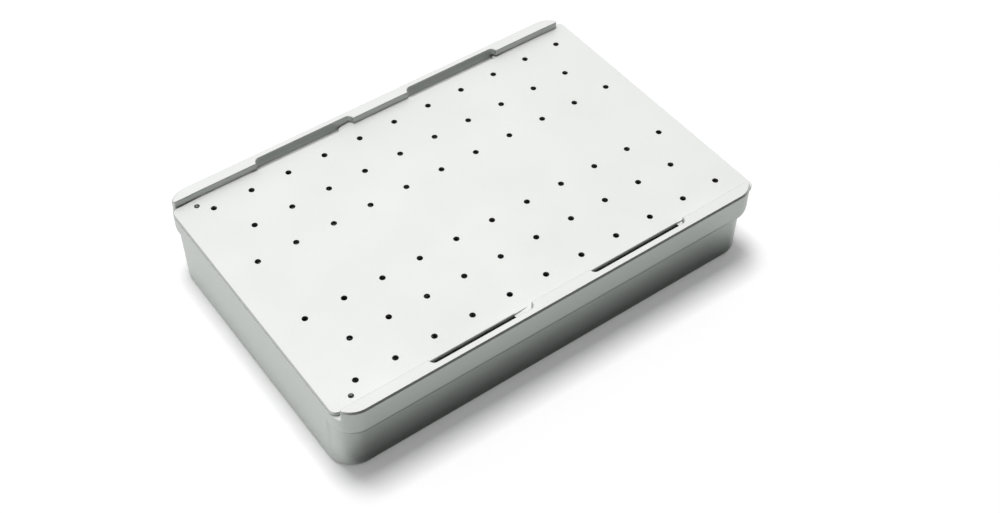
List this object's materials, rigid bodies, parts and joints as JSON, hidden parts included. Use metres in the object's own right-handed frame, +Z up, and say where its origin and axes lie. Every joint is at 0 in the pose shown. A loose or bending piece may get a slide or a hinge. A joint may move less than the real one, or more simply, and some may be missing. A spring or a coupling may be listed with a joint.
{
  "type": "sterilization case",
  "caption": "Rectangular metal case with a vented, tabbed lid that slides in undercut rails, ball detents and an inner tray with silicone instrument holders.",
  "frame": {"origin": "middle of the case's outline at the underside it rests on", "axes": "+X along the long side towards the end where the lid slides out, +Y across the case, +Z up"},
  "size_m": [0.1728, 0.1176, 0.0324],
  "materials": {
    "anodised_case": "satin",
    "anodised_tray": "satin",
    "stainless_steel": "satin",
    "polished_ball": "polished",
    "silicone_grommet": "matte",
    "silicone_comb": "matte"
  },
  "bodies": {
    "tub": {"case_body": "anodised_case", "detent_sleeve_front": "stainless_steel", "detent_spring_front": "stainless_steel", "detent_sleeve_back": "stainless_steel", "detent_spring_back": "stainless_steel", "tray_plate": "anodised_tray", "standoff_front_left": "stainless_steel", "standoff_front_right": "stainless_steel", "standoff_back_left": "stainless_steel", "standoff_back_right": "stainless_steel", "tray_screws": "stainless_steel", "tray_washers": "stainless_steel", "base_screws": "stainless_steel", "grommets_small": "silicone_grommet", "grommets_large": "silicone_grommet", "instrument_comb_left": "silicone_comb", "instrument_comb_right": "silicone_comb"},
    "lid": {"sliding_lid": "anodised_case"},
    "ball_front": {"detent_ball_front": "polished_ball"},
    "ball_back": {"detent_ball_back": "polished_ball"}
  },
  "joints": [
    {"name": "lid_slide", "type": "slide", "parent": "tub", "child": "lid", "axis": [1, 0, 0], "range_m": [0, 0.172]},
    {"name": "detent_front", "type": "slide", "parent": "tub", "child": "ball_front", "axis": [0, 0, 1], "range_m": [0, 0.0004], "stiffness_N_per_m": 500, "springref_m": 0.003, "deforming": ["detent_spring_front"]},
    {"name": "detent_back", "type": "slide", "parent": "tub", "child": "ball_back", "axis": [0, 0, 1], "range_m": [0, 0.0004], "stiffness_N_per_m": 500, "springref_m": 0.003, "deforming": ["detent_spring_back"]}
  ]
}
